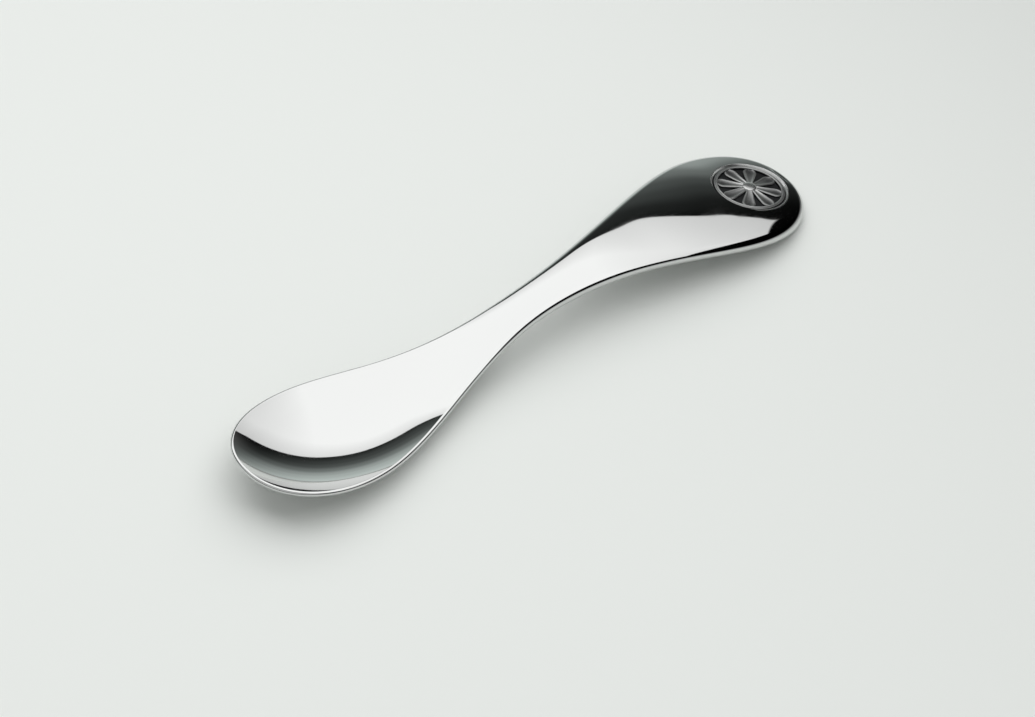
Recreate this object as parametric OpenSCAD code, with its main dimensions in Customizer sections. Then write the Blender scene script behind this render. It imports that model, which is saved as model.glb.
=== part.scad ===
// Teaspoon: one forged stainless body with a round medallion let into the end of its handle.
// The spoon lies as on a table. X runs from the bowl to the handle, Z is up, and the origin is
// under the middle of the spoon on the table top. All sizes are in millimetres.

/* [Overall] */
// Length from the bowl's tip to the handle's end
spoon_len = 140; // [130:1:155]

/* [Bowl] */
// Widest width of the bowl
bowl_w = 29.5; // [27:0.1:32]
// Distance from the tip to the widest place of the bowl
bowl_wide_x = 19.3; // [17:0.1:22]
// Fullness of the outline at the tip
tip_full = 8.5; // [7:0.1:9.5]
// Fullness of the outline between the tip and the widest place
bowl_front_full = 12.2; // [10:0.1:15]
// Fullness of the outline behind the widest place
bowl_back_full = 14.1; // [11:0.1:17]
// Radius of the hollow across the bowl
bowl_hollow_r = 27.2; // [24:0.1:32]
// Radius of the underside across the bowl
bowl_belly_r = 24.5; // [22:0.1:26]
// Thickness of the bowl's rim
rim_t = 1.1; // [0.9:0.05:1.5]
// Least lean of the ground rim towards the hollow, in degrees
rim_lean = 12; // [0:1:20]

/* [Neck] */
// Width of the neck
neck_w = 8.6; // [7:0.1:10]
// Distance from the tip to the narrowest place of the neck
neck_x = 69.4; // [65:0.1:73]
// Fullness of the outline on the bowl's side of the neck
neck_front_full = 22.3; // [17:0.1:24]
// Fullness of the outline on the handle's side of the neck
neck_back_full = 23.1; // [17:0.1:25]
// Radius of the crown across the top of the neck
neck_crown_r = 13; // [11:0.5:20]
// Radius of the underside across the neck
neck_belly_r = 9; // [7:0.1:16]

/* [Handle] */
// Widest width of the handle
handle_w = 29.1; // [26:0.1:31]
// Distance from the end to the widest place of the handle
handle_wide_back = 16.8; // [15:0.1:19]
// Fullness of the outline before the widest place
handle_front_full = 13.3; // [9:0.1:17]
// Fullness of the outline behind the widest place
handle_back_full = 11; // [9:0.1:12]
// Fullness of the outline at the end
end_full = 8; // [7:0.1:9]
// Distance from the tip to where the broadening handle's crown is measured
crown_x = 100; // [96:1:102]
// Radius of the crown across the top of the handle there
crown_r = 54.5; // [44:0.5:70]
// Distance from the end to where the crown takes its last radius
flat_back = 22; // [18:0.5:24]
// Radius of the crown across the handle's end
end_crown_r = 69; // [50:1:90]
// Radius of the shallow hollow across the underside of the handle
under_hollow_r = 80; // [75:1:140]
// Thickness of the handle at its edge
handle_t = 2.3; // [2.1:0.05:2.6]

/* [Side line of the edge] */
// Height of the edge at the bowl's tip
tip_z = 11.2; // [9:0.1:13]
// Fall of the edge at the tip, in degrees
tip_fall = 13; // [8:0.5:20]
// Distance from the tip to the lowest place of the bowl's rim
rim_low_x = 36.7; // [32:0.1:40]
// Height of the lowest place of the bowl's rim
rim_low_z = 6; // [5:0.1:7]
// Distance from the tip to the steepest place of the neck
rise_x = 62; // [58:0.5:66]
// Height of the edge at the steepest place of the neck
rise_z = 10; // [9:0.1:11]
// Rise of the neck, in degrees
rise_angle = 12.2; // [9:0.1:16]
// Distance from the tip to the top of the arched handle
arch_x = 85.5; // [82:0.1:92]
// Height of the edge at the top of the arch
arch_z = 12.2; // [11:0.1:14]
// Distance from the end to the shoulder where the handle runs out level
shoulder_back = 14; // [12:0.5:17]
// Height of the edge at the shoulder
shoulder_z = 6.1; // [5.6:0.1:7]
// Fall of the edge at the shoulder, in degrees
shoulder_fall = 12.9; // [8:0.1:16]
// Fall of the edge at the very end, in degrees
end_fall = 5.4; // [4:0.1:20]
// Depth worn off the two places that the spoon rests on
rest_wear = 0.08; // [0.05:0.01:0.12]

/* [Medallion] */
// Distance from the end to the middle of the medallion
medal_back = 10.4; // [10.2:0.1:11.5]
// Diameter of the round seat sunk in the handle
seat_d = 16.6; // [15:0.1:17]
// Lean of the seat towards the handle's end, in degrees
seat_lean = 12.5; // [11:0.1:15]
// Depth of the seat's floor below the edge of the handle beside it
seat_drop = 0.15; // [0:0.05:0.2]
// Thickness of the bond under the medallion
bond_t = 0.1; // [0.06:0.01:0.15]
// Thickness of the dark backing disc
backing_t = 0.35; // [0.25:0.05:0.5]
// Height of the bright bevelled ring
bezel_h = 0.55; // [0.4:0.05:0.7]
// Width of the bright ring's bevel
bezel_w = 0.5; // [0.4:0.05:0.6]
// Width of the ornament's border
border_w = 0.95; // [0.7:0.05:1.2]
// Thickness of the ornament at its border
border_t = 0.45; // [0.35:0.05:0.55]
// Number of petals in the ornament
petals = 8; // [7:1:9]
// Radius of a petal's round end
petal_r = 1.45; // [1.2:0.05:1.6]
// Height of the ornament at its middle
rosette_h = 0.6; // [0.5:0.05:0.8]
// Radius of the raised button in the middle
button_r = 1.5; // [1.2:0.05:1.7]

/* [Hidden] */
$fn = 96;

// Stations along each of the outline's four curves, and points round one section
steps = 25;
edge_pts = 7;
top_pts = 21;
under_pts = 16;
ring_pts = 2 * edge_pts + top_pts + under_pts;

// Places along the spoon that go with its end
handle_wide_x = spoon_len - handle_wide_back;
shoulder_x = spoon_len - shoulder_back;
flat_x = spoon_len - flat_back;
medal_x = spoon_len - medal_back;

// Lengths over which the neck takes up the handle's thickness and its crown
thicken_len = 12;
neck_crown_x = neck_x - 2;

// Gaps that let one medallion piece drop into the next, and the bond's hidden margin
slip = 0.06;
plate_gap = 0.18;
bond_margin = 0.4;
bezel_r = seat_d / 2 - slip;
bezel_lip = 0.12;
plate_r = bezel_r - bezel_w - plate_gap;
border_r = plate_r - border_w;
backing_z = bond_t;
front_z = bond_t + backing_t;

// Depth left in the petals' dish, rise of the button's dome, half width of a petal's root, its
// bite into the border, and the steps that draw the dish and the dome
petal_dish = 0.32;
button_rise = 0.25;
petal_root = 0.3;
petal_bite = 0.15;
dish_steps = 8;
button_steps = 6;
petal_x = border_r + petal_bite - petal_r;

// The half outline seen from above: four cubic curves that meet with level tangents at the
// widest place of the bowl, the neck and the widest place of the handle.
half_outline = [
    [[0, 0], [0, tip_full], [bowl_wide_x - bowl_front_full, bowl_w / 2], [bowl_wide_x, bowl_w / 2]],
    [[bowl_wide_x, bowl_w / 2], [bowl_wide_x + bowl_back_full, bowl_w / 2],
        [neck_x - neck_front_full, neck_w / 2], [neck_x, neck_w / 2]],
    [[neck_x, neck_w / 2], [neck_x + neck_back_full, neck_w / 2],
        [handle_wide_x - handle_front_full, handle_w / 2], [handle_wide_x, handle_w / 2]],
    [[handle_wide_x, handle_w / 2], [handle_wide_x + handle_back_full, handle_w / 2],
        [spoon_len, end_full], [spoon_len, 0]]
];

// A point and the unit direction on a cubic curve at t from 0 to 1
function curve_at(c, t) =
    let (s = 1 - t)
    s * s * s * c[0] + 3 * s * s * t * c[1] + 3 * s * t * t * c[2] + t * t * t * c[3];
function heading_at(c, t) =
    let (s = 1 - t)
    let (d = s * s * (c[1] - c[0]) + 2 * s * t * (c[2] - c[1]) + t * t * (c[3] - c[2]))
    d / norm(d);

// Smooth value at x through rows of [x, value, slope], and its slope
function span(a, b, x) =
    let (h = b[0] - a[0], u = (x - a[0]) / h, v = 1 - u)
    a[1] * (1 + 2 * u) * v * v + a[2] * h * u * v * v + b[1] * u * u * (1 + 2 * v) - b[2] * h * u * u * v;
function through(rows, x, i = 0) =
    i == len(rows) - 2 || x <= rows[i + 1][0]
        ? span(rows[i], rows[i + 1], x)
        : through(rows, x, i + 1);
function slope_of(rows, x) =
    (through(rows, x + 0.01) - through(rows, x - 0.01)) / 0.02;

// Edge thickness, and the bend of the top and of the underside across the spoon.
// A bend is one over the radius: more than nothing sags, less than nothing arches.
thickness_rows = [[0, rim_t, 0], [rim_low_x, rim_t, 0], [neck_x + thicken_len, handle_t, 0],
    [spoon_len, handle_t, 0]];
top_rows = [[0, 1 / bowl_hollow_r, 0], [rim_low_x, 1 / bowl_hollow_r, 0],
    [neck_crown_x, -1 / neck_crown_r, 0], [crown_x, -1 / crown_r, 0],
    [flat_x, -1 / end_crown_r, 0], [spoon_len, -1 / end_crown_r, 0]];
under_rows = [[0, 1 / bowl_belly_r, 0], [rim_low_x, 1 / bowl_belly_r, 0], [rise_x, 1 / neck_belly_r, 0],
    [arch_x, -1 / under_hollow_r, 0], [spoon_len, -1 / under_hollow_r, 0]];

// Rows of the edge's side line on the bowl's half of the spoon
bowl_rows = [[0, tip_z, -tan(tip_fall)], [rim_low_x, rim_low_z, 0], [rise_x, rise_z, tan(rise_angle)]];

// Lean of a face at the edge, in degrees below level as it runs outward. The face ends a little
// inside the outline, and close to the tip and the end its lean is held within bounds.
face_inset = 0.5;
least_y = 0.2;
least_ahead = 0.02;
function lean(bend, p, dir, fall) =
    -atan(bend * max(p[1] - face_inset, least_y) / max(dir[0], least_ahead) - fall * dir[1]);

// One section: round edge, underside, round edge, top. The round edge starts and ends square
// to the two faces, so the spoon has no crease outside its ground rim.
function edge_point(p, out, r, z, angle) =
    let (reach = r * (cos(angle) - 1))
    [p[0] + out[0] * reach, p[1] + out[1] * reach, z - r + r * sin(angle)];
function edge_arc(p, dir, line) =
    let (out = [-dir[1], dir[0]], z = through(line, p[0]), fall = slope_of(line, p[0]))
    let (r = through(thickness_rows, p[0]) / 2)
    let (top = max(lean(through(top_rows, p[0]), p, dir, fall), -rim_lean))
    let (under = lean(through(under_rows, p[0]), p, dir, fall))
    [for (k = [0:edge_pts - 1])
        edge_point(p, out, r, z, 90 - top - (180 + under - top) * k / (edge_pts - 1))];
function mirrored(q) = [q[0], -q[1], q[2]];
function across(q, bend, count, side) =
    [for (k = [1:count])
        let (y = q[1] * side * (1 - 2 * k / (count + 1)))
        [q[0], y, q[2] - bend * (q[1] * q[1] - y * y) / 2]];
function section(p, dir) =
    let (arc = edge_arc(p, dir, side_rows), last = edge_pts - 1)
    concat(arc,
        across(arc[last], through(under_rows, p[0]), under_pts, 1),
        [for (k = [last:-1:0]) mirrored(arc[k])],
        across(arc[0], through(top_rows, p[0]), top_pts, -1));

// The underside is lowest under the bowl, and the handle's end comes down as low. The table top
// lies a little higher, where use has worn both places flat.
function keel(c, t) =
    let (p = curve_at(c, t), q = edge_arc(p, heading_at(c, t), bowl_rows)[edge_pts - 1])
    q[2] - through(under_rows, p[0]) * q[1] * q[1] / 2;
lowest_z = min([for (i = [1:steps - 1])
    each [keel(half_outline[0], i / steps), keel(half_outline[1], i / steps / 2)]]);
table_z = lowest_z + rest_wear;
side_rows = concat(bowl_rows, [[arch_x, arch_z, 0], [shoulder_x, shoulder_z, -tan(shoulder_fall)],
    [spoon_len, lowest_z + handle_t, -tan(end_fall)]]);

// Sections from the first to the last but one station; both ends close on one round edge
stations = [for (c = half_outline, i = [0:steps - 1]) [curve_at(c, i / steps), heading_at(c, i / steps)]];
rings = len(stations) - 1;
tip_arc = edge_arc([0, 0], [0, 1], side_rows);
end_arc = edge_arc([spoon_len, 0], [0, -1], side_rows);
forged_points = concat(tip_arc,
    [for (i = [1:rings]) each section(stations[i][0], stations[i][1])],
    end_arc);
body_points = [for (q = forged_points) [q[0], q[1], max(q[2], table_z)]];

// Number of point j on ring i. On an end ring both sides share the same round edge.
function shared(j) =
    j < edge_pts ? j
    : j < edge_pts + under_pts ? edge_pts - 1
    : j < 2 * edge_pts + under_pts ? 2 * edge_pts + under_pts - 1 - j
    : 0;
function point_no(i, j) =
    let (k = j % ring_pts)
    i == 0 ? shared(k)
    : i <= rings ? edge_pts + (i - 1) * ring_pts + k
    : edge_pts + rings * ring_pts + shared(k);
body_faces = [for (i = [0:rings], j = [0:ring_pts - 1])
    let (a = point_no(i, j), b = point_no(i, j + 1), c = point_no(i + 1, j + 1), d = point_no(i + 1, j))
    for (f = [[a, b, c], [a, c, d]])
        if (f[0] != f[1] && f[1] != f[2] && f[2] != f[0]) f];

// Puts a piece on the seat's floor in the handle
module on_seat() {
    translate([medal_x - spoon_len / 2, 0, through(side_rows, medal_x) - seat_drop - table_z])
        rotate([0, seat_lean, 0])
            children();
}

// Bowl, neck and handle in one forging, with the blind seat for the medallion
module spoon_body() {
    color("silver")
        difference() {
            translate([-spoon_len / 2, 0, -table_z])
                polyhedron(body_points, body_faces);
            on_seat()
                cylinder(h = seat_d, d = seat_d);
        }
}

// Thin layer that holds the backing disc in its seat
module bond_film() {
    color("dimgray")
        on_seat()
            cylinder(h = bond_t, r = bezel_r - bond_margin);
}

// Dark disc whose face shows between the petals
module backing_disc() {
    color([0.1, 0.1, 0.11])
        on_seat()
            translate([0, 0, backing_z])
                cylinder(h = backing_t, r = bezel_r);
}

// Bright turned ring with a bevel that leads the eye down to the ornament
module bezel_ring() {
    color("gainsboro")
        on_seat()
            translate([0, 0, front_z])
                rotate_extrude()
                    polygon([[bezel_r - bezel_w, 0], [bezel_r, 0], [bezel_r, bezel_h],
                        [bezel_r - bezel_lip, bezel_h], [bezel_r - bezel_w, bezel_lip]]);
}

// Half profile of the ornament: flat border, dished petals, round button
module rosette_profile() {
    rise = rosette_h - petal_dish;
    polygon([[0, 0], [plate_r, 0], [plate_r, border_t], [border_r, border_t],
        for (k = [1:dish_steps])
            let (u = k / dish_steps)
            [border_r + (button_r - border_r) * u, petal_dish + rise * u * u],
        for (k = [1:button_steps])
            let (a = 90 * k / button_steps)
            [button_r * cos(a), rosette_h + button_rise * sin(a)]]);
}

// Plan of the ornament: a border, a button and round-ended petals that join them
module rosette_plan() {
    difference() {
        circle(r = plate_r);
        circle(r = border_r);
    }
    circle(r = button_r);
    for (i = [0:petals - 1])
        rotate(i * 360 / petals) {
            translate([petal_x, 0])
                circle(r = petal_r);
            polygon([[0, -petal_root], [petal_x, -petal_r], [petal_x, petal_r], [0, petal_root]]);
        }
}

// Openwork rosette with its border, laid on the backing disc
module rosette_plate() {
    color("darkgray")
        on_seat()
            translate([0, 0, front_z])
                intersection() {
                    rotate_extrude()
                        rosette_profile();
                    linear_extrude(height = 2 * rosette_h)
                        rosette_plan();
                }
}

spoon_body();
bond_film();
backing_disc();
bezel_ring();
rosette_plate();
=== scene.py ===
"""Teaspoon: mirror-polished forging with a small openwork medallion let into the handle's end.

Sizes are in millimetres, as in the part's source, and become metres where a mesh is made.
X runs from the bowl to the handle, Z is up and the table top is at zero.
"""
import math

import bmesh
import bpy
import numpy as np
from mathutils import Matrix, Vector
from mathutils.geometry import delaunay_2d_cdt


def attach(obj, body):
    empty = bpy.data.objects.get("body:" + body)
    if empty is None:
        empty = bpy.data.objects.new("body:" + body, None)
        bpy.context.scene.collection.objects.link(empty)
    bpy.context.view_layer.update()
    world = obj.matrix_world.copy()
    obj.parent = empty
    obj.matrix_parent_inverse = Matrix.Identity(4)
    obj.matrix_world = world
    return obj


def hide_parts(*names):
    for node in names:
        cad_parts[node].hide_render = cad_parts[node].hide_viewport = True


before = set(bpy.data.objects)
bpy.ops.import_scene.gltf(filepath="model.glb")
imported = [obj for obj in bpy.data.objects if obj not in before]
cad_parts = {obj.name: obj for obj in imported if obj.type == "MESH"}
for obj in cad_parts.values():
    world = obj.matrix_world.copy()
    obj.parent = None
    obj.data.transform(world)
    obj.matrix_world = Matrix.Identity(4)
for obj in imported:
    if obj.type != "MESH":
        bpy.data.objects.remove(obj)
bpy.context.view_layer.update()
MM = 0.001

# Overall
SPOON_LEN = 140.0

# Bowl
BOWL_W = 29.7
BOWL_WIDE_X = 19.3
TIP_FULL = 8.5
BOWL_FRONT_FULL = 12.2
BOWL_BACK_FULL = 14.1
BOWL_HOLLOW_R = 27.2
BOWL_BELLY_R = 24.5
RIM_T = 1.1
RIM_LEAN = math.radians(12)

# Neck
NECK_W = 9.0
NECK_X = 69.4
NECK_FRONT_FULL = 22.3
NECK_BACK_FULL = 23.1
NECK_CROWN_R = 13.0
NECK_BELLY_R = 9.0

# Handle
HANDLE_W = 29.6
HANDLE_WIDE_X = 123.2
HANDLE_FRONT_FULL = 13.3
HANDLE_BACK_FULL = 11.0
END_FULL = 8.0
CROWN_X = 100.0
CROWN_R = 54.5
FLAT_X = 118.0
END_CROWN_R = 69.0
UNDER_HOLLOW_R = 80.0
HANDLE_T = 2.3
# The edge rolls over softly on top and is upright below: its reach over its height,
# at the neck and at the end
TOP_ROLL = 1.9, 1.5
UNDER_TUCK = 0.6, 0.6

# Side line of the edge
TIP_Z = 11.2
TIP_FALL = math.radians(13)
RIM_LOW_X, RIM_LOW_Z = 36.7, 6.0
RISE_X, RISE_Z, RISE_ANGLE = 62.0, 10.0, math.radians(12.2)
ARCH_X, ARCH_Z = 85.5, 12.2
SHOULDER_X, SHOULDER_Z, SHOULDER_FALL = 126.0, 6.1, math.radians(12.9)
END_FALL = math.radians(5.4)
LOWEST_Z = 1.656
REST_WEAR = 0.08
TABLE_Z = LOWEST_Z + REST_WEAR

# Medallion
MEDAL_X = 129.6
SEAT_D = 16.6
SEAT_LEAN = math.radians(12.5)
SEAT_RISE = -0.15
SEAT_SOFT_EDGE = 0.14
BOND_T = 0.1
BACKING_T = 0.35
BEZEL_H, BEZEL_W, BEZEL_LIP = 0.55, 0.5, 0.12
BORDER_W, BORDER_T = 0.7, 0.45
PETALS, PETAL_R = 8, 1.45
ROSETTE_H, BUTTON_R = 0.6, 1.5
SLIP, PLATE_GAP = 0.06, 0.18
BEZEL_R = SEAT_D / 2 - SLIP
PLATE_R = BEZEL_R - BEZEL_W - PLATE_GAP
BORDER_R = PLATE_R - BORDER_W
PETAL_DISH, PETAL_ROOT, BUTTON_RISE = 0.32, 0.3, 0.25
PETAL_BITE = 0.15
PETAL_X = BORDER_R + PETAL_BITE - PETAL_R
PETAL_RIM, PETAL_HOLLOW, PETAL_ROUND = 0.1, 0.16, 0.3
# Over a petal's half width: where its raised rim runs, the rim's width, and where the edge starts to round off
RIM_AT, RIM_WIDE, ROUND_AT = 0.74, 0.16, 0.86
BEAD_R, BEAD_RISE = 0.2, 0.1
# Groove between the bead and the border's flat, from the border's inner edge, and its depth
GROOVE_START, GROOVE_FLOOR, GROOVE_END, GROOVE_T = 0.42, 0.46, 0.52, 0.1
FRONT_Z = BOND_T + BACKING_T


# Forging: bowl, neck and handle

def through(rows, x):
    """Smooth value at x through rows of (x, value, slope)."""
    rows = np.array(rows, float)
    x = np.asarray(x, float)
    i = np.clip(np.searchsorted(rows[:, 0], x) - 1, 0, len(rows) - 2)
    (ax, a, da), (bx, b, db) = rows[i].T, rows[i + 1].T
    h = bx - ax
    u = (x - ax) / h
    v = 1 - u
    return a * (1 + 2 * u) * v * v + da * h * u * v * v + b * u * u * (1 + 2 * v) - db * h * u * u * v


def edge_roll(x, on_neck, on_end):
    """Reach of the edge's rounding over its height: even round the bowl's thin rim."""
    return through([(0, 1, 0), (RIM_LOW_X, 1, 0), (ARCH_X, on_neck, 0), (SPOON_LEN, on_end, 0)], x)


def edge_thickness(x):
    return through([(0, RIM_T, 0), (RIM_LOW_X, RIM_T, 0), (NECK_X + 12, HANDLE_T, 0),
                    (SPOON_LEN, HANDLE_T, 0)], x)


def top_bend(x):
    """One over the radius across the top: positive sags as in the bowl, negative arches."""
    return through([(0, 1 / BOWL_HOLLOW_R, 0), (RIM_LOW_X, 1 / BOWL_HOLLOW_R, 0), (NECK_X - 2, -1 / NECK_CROWN_R, 0),
                    (CROWN_X, -1 / CROWN_R, 0), (FLAT_X, -1 / END_CROWN_R, 0),
                    (SPOON_LEN, -1 / END_CROWN_R, 0)], x)


def under_bend(x):
    return through([(0, 1 / BOWL_BELLY_R, 0), (RIM_LOW_X, 1 / BOWL_BELLY_R, 0), (RISE_X, 1 / NECK_BELLY_R, 0),
                    (ARCH_X, -1 / UNDER_HOLLOW_R, 0), (SPOON_LEN, -1 / UNDER_HOLLOW_R, 0)], x)


def edge_height(x):
    return through([(0, TIP_Z, -math.tan(TIP_FALL)), (RIM_LOW_X, RIM_LOW_Z, 0),
                    (RISE_X, RISE_Z, math.tan(RISE_ANGLE)), (ARCH_X, ARCH_Z, 0),
                    (SHOULDER_X, SHOULDER_Z, -math.tan(SHOULDER_FALL)),
                    (SPOON_LEN, LOWEST_Z + HANDLE_T, -math.tan(END_FALL))], x)


def half_outline(count):
    """Evenly spaced points from the tip to the end: four cubic curves seen from above."""
    curves = [
        [(0, 0), (0, TIP_FULL), (BOWL_WIDE_X - BOWL_FRONT_FULL, BOWL_W / 2), (BOWL_WIDE_X, BOWL_W / 2)],
        [(BOWL_WIDE_X, BOWL_W / 2), (BOWL_WIDE_X + BOWL_BACK_FULL, BOWL_W / 2),
         (NECK_X - NECK_FRONT_FULL, NECK_W / 2), (NECK_X, NECK_W / 2)],
        [(NECK_X, NECK_W / 2), (NECK_X + NECK_BACK_FULL, NECK_W / 2),
         (HANDLE_WIDE_X - HANDLE_FRONT_FULL, HANDLE_W / 2), (HANDLE_WIDE_X, HANDLE_W / 2)],
        [(HANDLE_WIDE_X, HANDLE_W / 2), (HANDLE_WIDE_X + HANDLE_BACK_FULL, HANDLE_W / 2),
         (SPOON_LEN, END_FULL), (SPOON_LEN, 0)],
    ]
    t = np.linspace(0, 1, 600)[:, None]
    s = 1 - t
    line = np.concatenate([s**3 * a + 3 * s * s * t * b + 3 * s * t * t * c + t**3 * d
                           for a, b, c, d in np.array(curves, float)])
    run = np.concatenate([[0], np.cumsum(np.linalg.norm(np.diff(line, axis=0), axis=1))])
    even = np.linspace(0, run[-1], count)
    return np.stack([np.interp(even, run, line[:, 0]), np.interp(even, run, line[:, 1])], 1), run[-1]


def buffed(values, spacing, reach=2.2):
    """Evens out the joints of the curves round the closed edge, as the buffing wheel does."""
    turn = np.exp(-0.5 * (2 * np.pi * np.fft.rfftfreq(len(values), spacing) * reach) ** 2)
    return np.fft.irfft(np.fft.rfft(values) * (2 * turn - turn * turn), len(values))


def unit(v):
    return v / np.linalg.norm(v, axis=-1, keepdims=True)


HALF = 340            # stations from the tip to the end on one side
EDGE_PTS = 21         # points round the edge
TOP_PTS = 61          # points across the top between the edges
UNDER_PTS = 41        # points across the underside
SEAT_PTS = 128        # points round the medallion's seat
EDGE_BUFF = 0.8       # how far the wheel evens out the lean of the edge
FULL_ROLL = 0.5       # a roll this much wider than round starts wholly on the crown
LEAST_OFF_AXIS = 0.2  # keep the slope across finite at the tip and the end
LEAST_AHEAD = 0.02
LEAST_RUN = 1e-4


def edge_band(top_roll=(1, 1), under_tuck=(1, 1), crown=None):
    """Round edge all the way round: grid of points, starting at the tip along the far side.
    With a crown, a wide roll starts up on it."""
    far, run = half_outline(HALF + 1)
    loop = np.concatenate([far, (far * (1, -1))[-2:0:-1]])
    spacing = run / HALF
    z = buffed(edge_height(loop[:, 0]), spacing)
    r = buffed(edge_thickness(loop[:, 0]) / 2, spacing)
    roll, tuck = (buffed(edge_roll(loop[:, 0], *ends), spacing) for ends in (top_roll, under_tuck))
    top_b, under_b = (buffed(bend(loop[:, 0]), spacing) for bend in (top_bend, under_bend))
    x, y = buffed(loop[:, 0], spacing), buffed(loop[:, 1], spacing)

    def ahead(v):
        return np.roll(v, -1, 0) - np.roll(v, 1, 0)

    head = np.stack([ahead(x), ahead(y)], 1)
    head /= np.linalg.norm(head, axis=1)[:, None]
    side = np.where(np.arange(len(x)) <= HALF, 1.0, -1.0)
    tx, ty = head[:, 0] * side, head[:, 1]
    fall = ahead(z) / np.where(np.abs(ahead(x)) < LEAST_RUN, LEAST_RUN, ahead(x))

    out = np.stack([-head[:, 1], head[:, 0]], 1)
    rise = r
    if crown is not None:
        foot = np.stack([x, y], 1) - out * (r * roll)[:, None]
        rise = r + (crown.height(*foot.T) - z) * np.clip((roll - 1) / FULL_ROLL, 0, 1)

    def lean(bend, stretch, high):
        across = bend * np.maximum(np.abs(y) - r * stretch, LEAST_OFF_AXIS)
        slope = across / np.maximum(tx, LEAST_AHEAD) - fall * ty
        return -np.arctan(slope * stretch * r / high)

    top = lean(top_b, roll, rise)
    ground = top < -RIM_LEAN
    top = buffed(np.maximum(top, -RIM_LEAN), spacing, EDGE_BUFF)
    under = buffed(lean(under_b, tuck, r), spacing, EDGE_BUFF)
    share = np.linspace(0, 1, EDGE_PTS)
    angle = math.pi / 2 - top[:, None] - (math.pi + under - top)[:, None] * share
    stretch = r[:, None] * np.where(angle > 0, roll[:, None], tuck[:, None])
    high = np.where(angle > 0, rise[:, None], r[:, None])
    reach = (np.cos(angle) - 1) * stretch
    points = np.stack([x[:, None] + out[:, :1] * reach, y[:, None] + out[:, 1:] * reach,
                       (z - r)[:, None] + high * np.sin(angle)], 2)
    outward = np.sin(angle) * stretch
    down = np.stack([out[:, :1] * outward, out[:, 1:] * outward, -np.cos(angle) * high], 2)
    return points, unit(np.cross(ahead(points), down)), top_b, under_b, ground


class Face:
    """The top or the underside: a height over x and y between the two edges."""

    def __init__(self, edge, bend, facing):
        self.edge, self.bend, self.facing = edge, bend, facing
        middle = edge[:, 2] - bend * edge[:, 1] ** 2 / 2
        order = np.argsort(edge[:, 0])
        self.x, self.middle, self.b = edge[order, 0], middle[order], bend[order]
        self.middle_slope = np.gradient(self.middle, self.x)
        self.b_slope = np.gradient(self.b, self.x)

    def height(self, x, y):
        return np.interp(x, self.x, self.middle) + np.interp(x, self.x, self.b) * y * y / 2

    def normal(self, x, y):
        along = np.interp(x, self.x, self.middle_slope) + np.interp(x, self.x, self.b_slope) * y * y / 2
        across = np.interp(x, self.x, self.b) * y
        return self.facing * unit(np.stack([-along, -across, np.ones_like(across)], -1))

    def rows(self, count):
        share = 1 - 2 * np.arange(1, count + 1) / (count + 1)
        y = self.edge[:, 1:2] * share
        x = np.repeat(self.edge[:, :1], count, 1)
        z = self.edge[:, 2:] - self.bend[:, None] * (self.edge[:, 1:2] ** 2 - y * y) / 2
        return np.stack([x, y, z], 2)


def seat_matrix():
    """Places a medallion piece on the seat's floor, in millimetres."""
    at = (MEDAL_X - SPOON_LEN / 2, 0, float(edge_height(MEDAL_X)) + SEAT_RISE - TABLE_Z)
    return Matrix.Translation(at) @ Matrix.Rotation(SEAT_LEAN, 4, "Y")


class Skin:
    """Points, faces and a true surface direction at each corner of each face."""

    def __init__(self):
        self.points, self.faces, self.corners = [], [], []

    def add(self, points):
        start = len(self.points)
        self.points.extend(map(tuple, np.asarray(points).reshape(-1, 3)))
        return np.arange(start, len(self.points)).reshape(np.shape(points)[:-1])

    def face(self, ids, normals):
        keep = [k for k in range(len(ids)) if ids[k] != ids[k - 1]]
        if len(keep) > 2:
            self.faces.append([int(ids[k]) for k in keep])
            self.corners.extend(tuple(normals[k]) for k in keep)

    def grid(self, ids, normals, skip=None):
        for i in range(ids.shape[0] - 1):
            for j in range(ids.shape[1] - 1):
                if skip is None or not skip[i, j]:
                    cells = ((i, j), (i, j + 1), (i + 1, j + 1), (i + 1, j))
                    self.face([ids[c] for c in cells], [normals[c] for c in cells])

    def mesh(self, name):
        mesh = bpy.data.meshes.new(name)
        mesh.from_pydata((np.array(self.points) * MM).tolist(), [], self.faces)
        mesh.polygons.foreach_set("use_smooth", [True] * len(self.faces))
        mesh.normals_split_custom_set(self.corners)
        return mesh


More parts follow.
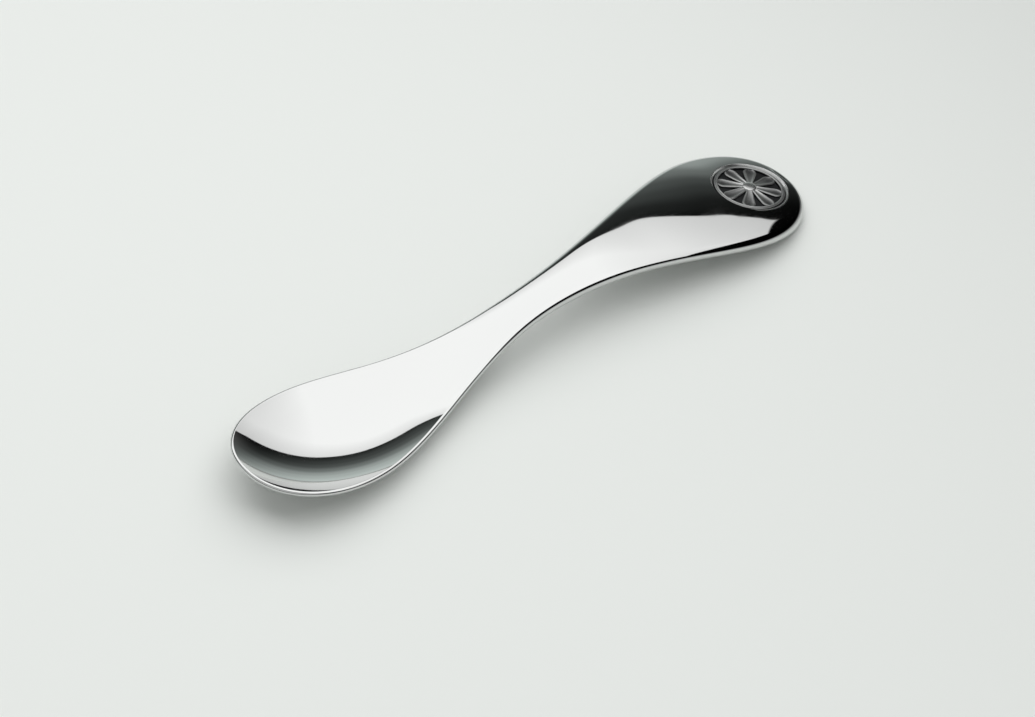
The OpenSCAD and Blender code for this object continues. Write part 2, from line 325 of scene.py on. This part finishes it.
def forged_spoon():
    """Bowl, neck and handle as one skin with the medallion's seat sunk in it."""
    plain = edge_band()
    crown = Face(plain[0][:HALF + 1, 0], plain[2][:HALF + 1], 1)
    band, band_normal, top_b, under_b, ground = edge_band(TOP_ROLL, UNDER_TUCK, crown)
    count = len(band)
    top = Face(band[:HALF + 1, 0], top_b[:HALF + 1], 1)
    under = Face(band[:HALF + 1, -1], under_b[:HALF + 1], -1)
    flush = ~ground
    band_normal[flush, 0] = top.normal(band[flush, 0, 0], band[flush, 0, 1])
    band_normal[:, -1] = under.normal(band[:, -1, 0], band[:, -1, 1])

    skin = Skin()
    ids = skin.add(band)
    ring = np.concatenate([[0], np.arange(count)[::-1]])
    skin.grid(ids[ring], band_normal[ring])

    def close(face, pts, col):
        """Vertex numbers and directions across one face, from the far edge to the near one."""
        rows = face.rows(pts)
        inner = skin.add(rows)
        inner[0], inner[-1] = ids[0, col], ids[HALF, col]
        near = ids[(-np.arange(HALF + 1)) % count, col]
        grid = np.concatenate([ids[:HALF + 1, col][:, None], inner, near[:, None]], 1)
        where = np.array(skin.points)[grid]
        return grid, where, face.normal(where[..., 0], where[..., 1])

    grid, _, normal = close(under, UNDER_PTS, -1)
    skin.grid(grid[:, ::-1], normal[:, ::-1])

    grid, where, normal = close(top, TOP_PTS, 0)
    seat = Matrix.Translation((SPOON_LEN / 2, 0, TABLE_Z)) @ seat_matrix()
    turn = np.array(seat.to_3x3())
    middle = np.array(seat.translation)
    local = (where - middle) @ turn
    off_axis = np.hypot(local[..., 0], local[..., 1])
    clear = 0.3
    close_by = (off_axis < SEAT_D / 2 + SEAT_SOFT_EDGE + clear) & (local[..., 2] > -0.5)
    inside = close_by[:-1, :-1] | close_by[1:, :-1] | close_by[:-1, 1:] | close_by[1:, 1:]
    skin.grid(grid, normal, inside)
    seat_in_handle(skin, top, grid, inside, turn, middle)

    skin.points = [(x - SPOON_LEN / 2, y, max(z, TABLE_Z) - TABLE_Z) for x, y, z in skin.points]
    return skin.mesh("forged_spoon")


def seat_in_handle(skin, top, grid, inside, turn, middle):
    """Round blind seat with a softened mouth, joined to the top round it."""
    angle = np.arange(SEAT_PTS) * 2 * np.pi / SEAT_PTS
    ray = np.stack([np.cos(angle), np.sin(angle), 0 * angle], 1) @ turn.T
    axis = turn[:, 2]

    def on_top(radius):
        foot = middle + ray * radius
        depth = np.full(SEAT_PTS, 1.0)
        for _ in range(30):  # steps up the wall until it meets the top
            p = foot + axis * depth[:, None]
            depth += 0.8 * (top.height(p[:, 0], p[:, 1]) - p[:, 2])
        return foot + axis * depth[:, None]

    mouth = on_top(SEAT_D / 2 + SEAT_SOFT_EDGE)
    wall = on_top(SEAT_D / 2) - axis * SEAT_SOFT_EDGE
    floor = middle + ray * SEAT_D / 2
    mouth_ids, wall_ids, floor_ids = skin.add(mouth), skin.add(wall), skin.add(floor)

    tally = {}
    for i, j in np.argwhere(inside):
        corner = [grid[i, j], grid[i, j + 1], grid[i + 1, j + 1], grid[i + 1, j]]
        for a, b in zip(corner, corner[1:] + corner[:1]):
            side = frozenset((int(a), int(b)))
            tally[side] = tally.get(side, 0) + 1
    border = [tuple(e) for e, n in tally.items() if n == 1]
    names = sorted({v for e in border for v in e}) + [int(v) for v in mouth_ids]
    place = {v: k for k, v in enumerate(names)}
    flat = [Vector(skin.points[v][:2]) for v in names]
    edges = [(place[a], place[b]) for a, b in border]
    edges += [(place[int(a)], place[int(b)]) for a, b in zip(mouth_ids, np.roll(mouth_ids, -1))]
    _, _, triangles, origin, _, _ = delaunay_2d_cdt(flat, edges, [], 1, 1e-6)
    for tri in triangles:
        ids = [names[origin[k][0]] for k in tri]
        p = np.array([skin.points[v] for v in ids])
        local = (p.mean(0) - middle) @ turn
        if math.hypot(local[0], local[1]) > (SEAT_D / 2 + SEAT_SOFT_EDGE) * math.cos(math.pi / SEAT_PTS):
            if np.cross(p[1] - p[0], p[2] - p[0])[2] < 0:
                ids, p = ids[::-1], p[::-1]
            skin.face(ids, top.normal(p[:, 0], p[:, 1]))

    ring = np.concatenate([[0], np.arange(SEAT_PTS)[::-1]])
    mouth_normal = top.normal(mouth[:, 0], mouth[:, 1])
    skin.grid(np.stack([wall_ids, mouth_ids])[:, ring], np.stack([-ray, mouth_normal])[:, ring])
    skin.grid(np.stack([floor_ids, wall_ids])[:, ring], np.stack([-ray, -ray])[:, ring])
    skin.face(list(floor_ids), [axis] * SEAT_PTS)


# Medallion: backing, bezel and openwork rosette, each in the seat's own axes

def turned(profile, count=144):
    """Ring or disc turned from a closed profile of (radius, height) points."""
    angle = np.arange(count) * 2 * np.pi / count
    points, faces, rows = [], [], []
    for r, z in profile:
        if r == 0:
            rows.append([len(points)] * count)
            points.append((0, 0, z))
        else:
            rows.append(list(range(len(points), len(points) + count)))
            points.extend((r * math.cos(a), r * math.sin(a), z) for a in angle)
    for below, above in zip(rows, rows[1:] + rows[:1]):
        for k in range(count):
            n = (k + 1) % count
            ring = [below[k], below[n], above[n], above[k]]
            ring = [v for j, v in enumerate(ring) if v != ring[j - 1]]
            if len(ring) > 2:
                faces.append(ring)
    return points, faces


def softened(corners, radius, steps=4):
    """Rounds each corner of a closed profile; a point on the axis stays as it is."""
    line = []
    for before, (r, z), after in zip(corners[-1:] + corners[:-1], corners, corners[1:] + corners[:1]):
        here, ends = Vector((r, z)), []
        for other in (before, after):
            gap = Vector(other) - here
            ends.append(here + gap.normalized() * min(radius, gap.length * 0.45))
        if r == 0:
            line.append((r, z))
            continue
        for k in range(steps + 1):
            t = k / steps
            line.append(tuple((1 - t) ** 2 * ends[0] + 2 * t * (1 - t) * here + t * t * ends[1]))
    return line


def petal(turn, steps=40, across=21):
    """One dished petal with a raised rim, from under the button to inside the border."""
    root, tip = BUTTON_R * 0.5, PETAL_X + PETAL_R
    points, faces = [], []
    for k in range(steps + 1):
        r = root + (tip - 0.02 - root) * math.sin(math.pi / 2 * k / steps)
        half = PETAL_ROOT + (PETAL_R - PETAL_ROOT) * r / PETAL_X
        if r > PETAL_X:
            half = math.sqrt(PETAL_R ** 2 - (r - PETAL_X) ** 2)
        u = min(max((BORDER_R - r) / (BORDER_R - BUTTON_R), 0), 1)
        floor = PETAL_DISH + (ROSETTE_H - PETAL_DISH) * u * u
        section = [(-half, 0)]
        for j in range(across):
            v = 2 * j / (across - 1) - 1
            rim = PETAL_RIM * math.exp(-((abs(v) - RIM_AT) / RIM_WIDE) ** 2)
            hollow = PETAL_HOLLOW * (1 - v * v) ** 2 * min(half / PETAL_R, 1)
            round_off = PETAL_ROUND * max(abs(v) - ROUND_AT, 0) / (1 - ROUND_AT)
            section.append((v * half, floor + rim - hollow - round_off * round_off))
        section.append((half, 0))
        points.extend((r * math.cos(turn) - y * math.sin(turn), r * math.sin(turn) + y * math.cos(turn), z)
                      for y, z in section)
    wide = across + 2
    for k in range(steps):
        for j in range(wide):
            n = (j + 1) % wide
            faces.append([k * wide + j, (k + 1) * wide + j, (k + 1) * wide + n, k * wide + n])
    faces.append(list(range(wide)))
    faces.append(list(range(steps * wide, steps * wide + wide))[::-1])
    return points, faces


def medallion_mesh(name, shells, lift, sharp=math.radians(40)):
    """One mesh from closed shells, raised by lift over the seat's floor."""
    points, faces = [], []
    for shell_points, shell_faces in shells:
        start = len(points)
        points += [(x * MM, y * MM, (z + lift) * MM) for x, y, z in shell_points]
        faces += [[v + start for v in face] for face in shell_faces]
    mesh = bpy.data.meshes.new(name)
    mesh.from_pydata(points, [], faces)
    shape = bmesh.new()
    shape.from_mesh(mesh)
    bmesh.ops.recalc_face_normals(shape, faces=shape.faces)
    shape.to_mesh(mesh)
    shape.free()
    mesh.shade_smooth()
    mesh.set_sharp_from_angle(angle=sharp)
    return mesh


def backing_disc():
    """Dark disc whose face shows between the petals."""
    edge = [(0, 0), (BEZEL_R, 0), (BEZEL_R, BACKING_T), (0, BACKING_T)]
    return medallion_mesh("backing_disc", [turned(softened(edge, 0.06))], BOND_T)


def bezel_ring():
    """Ring with a narrow lip and a broad bevel that runs down to the rosette."""
    inner = BEZEL_R - BEZEL_W
    edge = [(inner, 0), (BEZEL_R, 0), (BEZEL_R, BEZEL_H), (BEZEL_R - BEZEL_LIP, BEZEL_H), (inner, BEZEL_LIP)]
    return medallion_mesh("bezel_ring", [turned(softened(edge, 0.04))], FRONT_Z)


def openwork_rosette():
    """Cast border with a bead, eight petals and a domed button over the dark backing."""
    bead = [(BORDER_R + BEAD_R + BEAD_R * math.cos(math.radians(a)), BORDER_T + BEAD_RISE * math.sin(math.radians(a)))
            for a in range(0, 181, 20)]
    border = [(BORDER_R, 0), (PLATE_R, 0), (PLATE_R, BORDER_T - 0.04), (PLATE_R - 0.06, BORDER_T),
              (BORDER_R + GROOVE_END, BORDER_T), (BORDER_R + GROOVE_FLOOR, BORDER_T - GROOVE_T),
              (BORDER_R + GROOVE_START, BORDER_T - GROOVE_T)] + bead
    dome = [(BUTTON_R * math.cos(math.radians(a)), ROSETTE_H + BUTTON_RISE * math.sin(math.radians(a)))
            for a in range(0, 90, 9)]
    button = [(0, 0), (BUTTON_R, 0), (BUTTON_R, ROSETTE_H - 0.06)] + dome + [(0, ROSETTE_H + BUTTON_RISE)]
    shells = [turned(border), turned(button)]
    shells += [petal(2 * math.pi * k / PETALS) for k in range(PETALS)]
    return medallion_mesh("openwork_rosette", shells, FRONT_Z)


# Materials

def linear(hex_colour):
    """sRGB hex to linear colour with alpha."""
    parts = [int(hex_colour[k:k + 2], 16) / 255 for k in (1, 3, 5)]
    return tuple(c / 12.92 if c <= 0.04045 else ((c + 0.055) / 1.055) ** 2.4 for c in parts) + (1.0,)


def add(tree, kind, inputs=None, **settings):
    """Adds one node, with its settings, values and links."""
    node = tree.nodes.new(kind)
    for name, value in settings.items():
        setattr(node, name, value)
    for name, value in (inputs or {}).items():
        if isinstance(value, bpy.types.NodeSocket):
            tree.links.new(value, node.inputs[name])
        else:
            node.inputs[name].default_value = value
    return node


def blank_material(name):
    material = bpy.data.materials.new(name)
    material.use_nodes = True
    material.node_tree.nodes.clear()
    return material, material.node_tree


def mirror_polished_stainless():
    """Forged stainless steel brought to a mirror on buffing wheels: it shows the room, very
    slightly clouded, with faint lines along the spoon where the last wheel ran."""
    material, tree = blank_material("mirror_polished_stainless")
    where = add(tree, "ShaderNodeTexCoord").outputs["Object"]
    along = add(tree, "ShaderNodeMapping", {"Vector": where, "Scale": (40, 900, 900)})
    # Buffing lines are some hundredths of a millimetre apart; drawn about 1 mm apart to show
    lines = add(tree, "ShaderNodeTexNoise", {"Vector": along.outputs["Vector"], "Scale": 1.0, "Detail": 4.0})
    # Clouds of haze about 15 mm across
    haze = add(tree, "ShaderNodeTexNoise", {"Vector": where, "Scale": 65.0, "Detail": 2.0})
    mixed = add(tree, "ShaderNodeMath", {0: lines.outputs["Fac"], 1: haze.outputs["Fac"]}, operation="MULTIPLY")
    gloss = add(tree, "ShaderNodeMapRange", {"Value": mixed.outputs["Value"], "From Min": 0.1, "From Max": 0.45,
                                             "To Min": 0.015, "To Max": 0.06})
    shader = add(tree, "ShaderNodeBsdfPrincipled",
                 {"Base Color": linear("#D3D4D3"), "Metallic": 1.0, "Roughness": gloss.outputs["Result"]})
    add(tree, "ShaderNodeOutputMaterial", {"Surface": shader.outputs["BSDF"]})
    return material


def turned_bright_steel():
    """Stainless ring faced on a lathe and polished: bright, with fine rings round its axis."""
    material, tree = blank_material("turned_bright_steel")
    where = add(tree, "ShaderNodeTexCoord").outputs["Object"]
    # Tool marks about 0.04 mm apart; drawn 0.12 mm apart to show
    marks = add(tree, "ShaderNodeTexWave", {"Vector": where, "Scale": 2 * math.pi / 20 / 0.00012, "Distortion": 0.4},
                wave_type="RINGS", rings_direction="Z")
    gloss = add(tree, "ShaderNodeMapRange", {"Value": marks.outputs["Fac"], "To Min": 0.22, "To Max": 0.32})
    grain = add(tree, "ShaderNodeBump", {"Height": marks.outputs["Fac"], "Strength": 0.08, "Distance": 0.00002})
    shader = add(tree, "ShaderNodeBsdfPrincipled",
                 {"Base Color": linear("#D8D9D8"), "Metallic": 1.0, "Roughness": gloss.outputs["Result"],
                  "Normal": grain.outputs["Normal"]})
    add(tree, "ShaderNodeOutputMaterial", {"Surface": shader.outputs["BSDF"]})
    return material


def blackened_steel():
    """Steel blackened in a bath and left matt: nearly black, with the grain of the blasted face."""
    material, tree = blank_material("blackened_steel")
    where = add(tree, "ShaderNodeTexCoord").outputs["Object"]
    # Blasting grit of about 0.1 mm
    grit = add(tree, "ShaderNodeTexNoise", {"Vector": where, "Scale": 9000.0, "Detail": 3.0})
    tint = add(tree, "ShaderNodeValToRGB", {"Fac": grit.outputs["Fac"]})
    tint.color_ramp.elements[0].color = linear("#101112")
    tint.color_ramp.elements[1].color = linear("#2B2C2E")
    grain = add(tree, "ShaderNodeBump", {"Height": grit.outputs["Fac"], "Strength": 0.5, "Distance": 0.00004})
    shader = add(tree, "ShaderNodeBsdfPrincipled",
                 {"Base Color": tint.outputs["Color"], "Metallic": 0.6, "Roughness": 0.5,
                  "Normal": grain.outputs["Normal"]})
    add(tree, "ShaderNodeOutputMaterial", {"Surface": shader.outputs["BSDF"]})
    return material


def satin_cast_steel():
    """Cast stainless, darkened and then rubbed back: satin grey on what stands up and dark lower down, which is
    partly that darkened finish and partly painted shade in the hollows.
    """
    material, tree = blank_material("satin_cast_steel")
    where = add(tree, "ShaderNodeTexCoord").outputs["Object"]
    height = add(tree, "ShaderNodeSeparateXYZ", {"Vector": where}).outputs["Z"]
    # Casting grain of about 0.15 mm
    grit = add(tree, "ShaderNodeTexNoise", {"Vector": where, "Scale": 6500.0, "Detail": 4.0})
    # Painted shade: the colour runs from dark low down to light high up. This stands partly for the darkened finish
    # left in the hollows and partly for the shade that falls there.
    blotch = add(tree, "ShaderNodeMath", {0: grit.outputs["Fac"], 1: 0.0003, 2: height}, operation="MULTIPLY_ADD")
    patina_and_shade = add(tree, "ShaderNodeMapRange", {"Value": blotch.outputs["Value"],
                                            "From Min": 0.0007, "From Max": 0.00125})
    tint = add(tree, "ShaderNodeValToRGB", {"Fac": patina_and_shade.outputs["Result"]})
    tint.color_ramp.elements[0].color = linear("#2A2B2C")
    tint.color_ramp.elements[1].color = linear("#C9CAC9")
    gloss = add(tree, "ShaderNodeMapRange", {"Value": patina_and_shade.outputs["Result"], "To Min": 0.5, "To Max": 0.26})
    grain = add(tree, "ShaderNodeBump", {"Height": grit.outputs["Fac"], "Strength": 0.25, "Distance": 0.00003})
    shader = add(tree, "ShaderNodeBsdfPrincipled",
                 {"Base Color": tint.outputs["Color"], "Metallic": 1.0, "Roughness": gloss.outputs["Result"],
                  "Normal": grain.outputs["Normal"]})
    add(tree, "ShaderNodeOutputMaterial", {"Surface": shader.outputs["BSDF"]})
    return material


def cured_bond():
    """Grey cured adhesive, dull and slightly mottled."""
    material, tree = blank_material("cured_bond")
    where = add(tree, "ShaderNodeTexCoord").outputs["Object"]
    # Mottling of about 0.7 mm
    mottle = add(tree, "ShaderNodeTexNoise", {"Vector": where, "Scale": 1500.0})
    tint = add(tree, "ShaderNodeValToRGB", {"Fac": mottle.outputs["Fac"]})
    tint.color_ramp.elements[0].color = linear("#3A3B3D")
    tint.color_ramp.elements[1].color = linear("#4C4D4F")
    shader = add(tree, "ShaderNodeBsdfPrincipled", {"Base Color": tint.outputs["Color"], "Roughness": 0.7})
    add(tree, "ShaderNodeOutputMaterial", {"Surface": shader.outputs["BSDF"]})
    return material


# Studio

BOARD_HALF = 3.0      # metres


def pale_board():
    """Matt pale board that the spoon lies on."""
    bm = bmesh.new()
    bmesh.ops.create_grid(bm, x_segments=8, y_segments=8, size=BOARD_HALF)
    mesh = bpy.data.meshes.new("pale_board")
    bm.to_mesh(mesh)
    bm.free()
    board = bpy.data.objects.new("pale_board", mesh)
    bpy.context.scene.collection.objects.link(board)
    material, tree = blank_material("matt_coated_board")
    shader = add(tree, "ShaderNodeBsdfPrincipled", {"Base Color": linear("#EEF1EE"), "Roughness": 0.9})
    add(tree, "ShaderNodeOutputMaterial", {"Surface": shader.outputs["BSDF"]})
    board.data.materials.append(material)


VIEW_AZ, VIEW_EL, VIEW_DIST = math.radians(-39.81), math.radians(46.38), 573.9
VIEW_AIM = Vector((64.71 - SPOON_LEN / 2, -2.52, -TABLE_Z))


def camera():
    """Long lens above the near side, looking down along the spoon."""
    a, e = VIEW_AZ, VIEW_EL
    right = Vector((math.cos(a), math.sin(a), 0))
    up = Vector((-math.sin(a) * math.sin(e), math.cos(a) * math.sin(e), math.cos(e)))
    back = Vector((math.sin(a) * math.cos(e), -math.cos(a) * math.cos(e), math.sin(e)))
    lens = bpy.data.cameras.new("camera")
    lens.lens, lens.sensor_width, lens.sensor_fit = 100.0, 36.0, "HORIZONTAL"
    lens.clip_start = 0.01
    body = bpy.data.objects.new("camera", lens)
    turn = Matrix((right, up, back)).transposed().to_4x4()
    body.matrix_world = Matrix.Translation((VIEW_AIM + back * VIEW_DIST) * MM) @ turn
    bpy.context.scene.collection.objects.link(body)
    bpy.context.scene.camera = body


STUDIO_TURN = Matrix.Rotation(math.radians(-41.8), 3, "Z")
# The softbox stands behind the spoon and leans over it. Its light side faces down, near and left.
SOFTBOX_OVER = Vector((0, 0, 0.638))
SOFTBOX_BACK = Vector((0.939, 1.701, 1)).normalized()
SOFTBOX_ALONG = Vector((1, -0.405, -0.25))
SOFTBOX_LEFT, SOFTBOX_RIGHT = -0.75, 0.52
SOFTBOX_TOP, SOFTBOX_FOOT = -0.5, 0.5565
# Its right side slants and curves: where that side meets the foot, how far it goes out for each metre up,
# and how much the slant grows for each metre
SOFTBOX_CORNER, SOFTBOX_SLANT, SOFTBOX_CURVE = 0.171, 0.2, 1.3
# The foot comes down by a small step: where the step starts and ends, and the foot's height left of it
SOFTBOX_STEP, SOFTBOX_LEFT_FOOT = (0.14, 0.16), 0.549
SOFTBOX_GLOW = 1.36
# The light dims towards the right side and the foot: how deep from the edge, and the share left at the edge
SIDE_DIM, FOOT_DIM = (0.17, 0.76), (0.08, 0.78)
EDGE_BLUR = 0.001


def leaning_softbox():
    """Large softbox, a little dimmer towards its foot and its right side."""
    lamp = bpy.data.lights.new("leaning_softbox", "AREA")
    lamp.shape = "RECTANGLE"
    lamp.size, lamp.size_y = SOFTBOX_RIGHT - SOFTBOX_LEFT, SOFTBOX_FOOT - SOFTBOX_TOP
    lamp.energy = SOFTBOX_GLOW * math.pi * lamp.size * lamp.size_y
    lamp.use_nodes = True
    tree = lamp.node_tree
    tree.nodes.clear()
    spot = add(tree, "ShaderNodeNewGeometry").outputs["Parametric"]
    on_front = add(tree, "ShaderNodeVectorMath", {0: spot, 1: (lamp.size, lamp.size_y, 0),
                                                  2: (SOFTBOX_LEFT, SOFTBOX_TOP, 0)}, operation="MULTIPLY_ADD")
    axes = add(tree, "ShaderNodeSeparateXYZ", {"Vector": on_front.outputs["Vector"]})
    foot = add(tree, "ShaderNodeMapRange", {"Value": axes.outputs["X"], "From Min": SOFTBOX_STEP[0],
                                            "From Max": SOFTBOX_STEP[1], "To Min": SOFTBOX_LEFT_FOOT,
                                            "To Max": SOFTBOX_FOOT})
    up = add(tree, "ShaderNodeMath", {0: foot.outputs["Result"], 1: axes.outputs["Y"]},
             operation="SUBTRACT").outputs["Value"]
    slant = add(tree, "ShaderNodeMath", {0: up, 1: SOFTBOX_CURVE, 2: SOFTBOX_SLANT}, operation="MULTIPLY_ADD")
    side = add(tree, "ShaderNodeMath", {0: up, 1: slant.outputs["Value"], 2: SOFTBOX_CORNER},
               operation="MULTIPLY_ADD")
    within = add(tree, "ShaderNodeMath", {0: side.outputs["Value"], 1: axes.outputs["X"]},
                 operation="SUBTRACT").outputs["Value"]
    share = 1.0
    for inside, start, end, least in ((up, -EDGE_BLUR, EDGE_BLUR, 0.0), (within, -EDGE_BLUR, EDGE_BLUR, 0.0),
                                      (within, 0.0, *SIDE_DIM), (up, 0.0, *FOOT_DIM)):
        fade = add(tree, "ShaderNodeMapRange", {"Value": inside, "From Min": start, "From Max": end,
                                                "To Min": least, "To Max": 1.0})
        share = add(tree, "ShaderNodeMath", {0: fade.outputs["Result"], 1: share},
                    operation="MULTIPLY").outputs["Value"]
    glow = add(tree, "ShaderNodeEmission", {"Strength": share})
    add(tree, "ShaderNodeOutputLight", {"Surface": glow.outputs["Emission"]})
    along = (SOFTBOX_ALONG - SOFTBOX_BACK * SOFTBOX_ALONG.dot(SOFTBOX_BACK)).normalized()
    down = SOFTBOX_BACK.cross(along)
    centre = SOFTBOX_OVER + along * (SOFTBOX_LEFT + SOFTBOX_RIGHT) / 2 + down * (SOFTBOX_TOP + SOFTBOX_FOOT) / 2
    softbox = bpy.data.objects.new("leaning_softbox", lamp)
    turn = STUDIO_TURN @ Matrix((along, down, SOFTBOX_BACK)).transposed()
    softbox.matrix_world = Matrix.Translation(STUDIO_TURN @ centre) @ turn.to_4x4()
    softbox.visible_camera = False
    bpy.context.scene.collection.objects.link(softbox)


ROOM_GLOW, WALL_GLOW = 0.41, 0.6
# Level of the mirrored sweep over the height of a direction
SWEEP_LEVELS = ((0.0, 0.75), (0.1, 0.6), (0.15, 0.48), (0.225, 0.25), (0.3, 0.115),
                (0.36, 0.075), (0.45, 0.03), (0.55, 0.012))
# Azimuths in degrees, and the heights between which the high wall starts and the low wall ends
SWEEP_SIDE, HIGH_WALL_SIDE, LOW_WALL_SIDE = 95, -165, -50
HIGH_WALL_FOOT, LOW_WALL_TOP = (0.15, 0.45), (0.1, 0.4)


def towards(tree, direction, azimuth, turned_away, turned_to, least, most):
    """Level that rises from least to most as a direction turns to an azimuth in degrees."""
    side = (math.cos(math.radians(azimuth)), math.sin(math.radians(azimuth)), 0)
    facing = add(tree, "ShaderNodeVectorMath", {0: direction, 1: side}, operation="DOT_PRODUCT")
    return add(tree, "ShaderNodeMapRange", {"Value": facing.outputs["Value"], "From Min": turned_away,
                                            "From Max": turned_to, "To Min": least, "To Max": most},
               interpolation_type="SMOOTHSTEP").outputs["Result"]


def studio_surround():
    """Pale sweep low behind the spoon that fades upward and sideways into a dark room,
    and pale walls where the photograph's view mirrors little of them."""
    world = bpy.data.worlds.new("studio_surround")
    world.use_nodes = True
    tree = world.node_tree
    tree.nodes.clear()
    direction = add(tree, "ShaderNodeTexCoord").outputs["Generated"]
    height = add(tree, "ShaderNodeSeparateXYZ", {"Vector": direction}).outputs["Z"]
    fade = add(tree, "ShaderNodeValToRGB", {"Fac": height})
    stops = fade.color_ramp.elements
    fade.color_ramp.interpolation = "EASE"
    stops[0].position, stops[1].position = SWEEP_LEVELS[0][0], SWEEP_LEVELS[-1][0]
    for spot, _ in SWEEP_LEVELS[1:-1]:
        stops.new(spot)
    cool_white = linear("#F4FFFB")
    for stop, (_, level) in zip(stops, SWEEP_LEVELS):
        stop.color = [level * part for part in cool_white[:3]] + [1]
    sweep_share = towards(tree, direction, SWEEP_SIDE, 0.15, 0.75, 0.03, 1.0)
    sweep = add(tree, "ShaderNodeBackground", {"Color": fade.outputs["Color"], "Strength": sweep_share})
    high_share = towards(tree, direction, HIGH_WALL_SIDE, 0.0, 0.55, 0.0, WALL_GLOW)
    high_wall = add(tree, "ShaderNodeMapRange", {"Value": height, "From Min": HIGH_WALL_FOOT[0],
                                                 "From Max": HIGH_WALL_FOOT[1], "To Min": 0.0, "To Max": high_share},
                    interpolation_type="SMOOTHSTEP")
    low_share = towards(tree, direction, LOW_WALL_SIDE, 0.2, 0.8, 0.0, WALL_GLOW)
    low_wall = add(tree, "ShaderNodeMapRange", {"Value": height, "From Min": LOW_WALL_TOP[0],
                                                "From Max": LOW_WALL_TOP[1], "To Min": low_share, "To Max": 0.0},
                   interpolation_type="SMOOTHSTEP")
    walls = add(tree, "ShaderNodeMath", {0: high_wall.outputs["Result"], 1: low_wall.outputs["Result"]},
                operation="MAXIMUM")
    wall = add(tree, "ShaderNodeBackground", {"Color": linear("#FDFEFD"), "Strength": walls.outputs["Value"]})
    mirrored = add(tree, "ShaderNodeAddShader", {0: sweep.outputs["Background"], 1: wall.outputs["Background"]})
    room = add(tree, "ShaderNodeBackground", {"Color": linear("#FDFEFD"), "Strength": ROOM_GLOW})
    seen = add(tree, "ShaderNodeMixShader", {"Fac": add(tree, "ShaderNodeLightPath").outputs["Is Glossy Ray"],
                                             1: room.outputs["Background"], 2: mirrored.outputs["Shader"]})
    add(tree, "ShaderNodeOutputWorld", {"Surface": seen.outputs["Shader"]})
    bpy.context.scene.world = world


def place(name, mesh, material, node, slot, matrix=None):
    """Puts a finished piece on the spoon in place of its solid."""
    piece = bpy.data.objects.new(name, mesh)
    bpy.context.scene.collection.objects.link(piece)
    if matrix is not None:
        piece.matrix_world = matrix
    piece.data.materials.append(material)
    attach(piece, "root")
    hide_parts(node)


camera()
pale_board()
leaning_softbox()
studio_surround()
place("forged_spoon", forged_spoon(), mirror_polished_stainless(), "spoon_body", "polished_steel")
seat = seat_matrix()
seat.translation *= MM
place("backing_disc_blackened", backing_disc(), blackened_steel(), "backing_disc", "dark_backing", seat)
place("bezel_ring_turned", bezel_ring(), turned_bright_steel(), "bezel_ring", "bright_ring", seat)
place("openwork_rosette", openwork_rosette(), satin_cast_steel(), "rosette_plate", "satin_ornament", seat)
bond_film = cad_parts["bond_film"].data
bond_film.materials.clear()
bond_film.materials.append(cured_bond())

bpy.context.scene.view_settings.view_transform = "Standard"
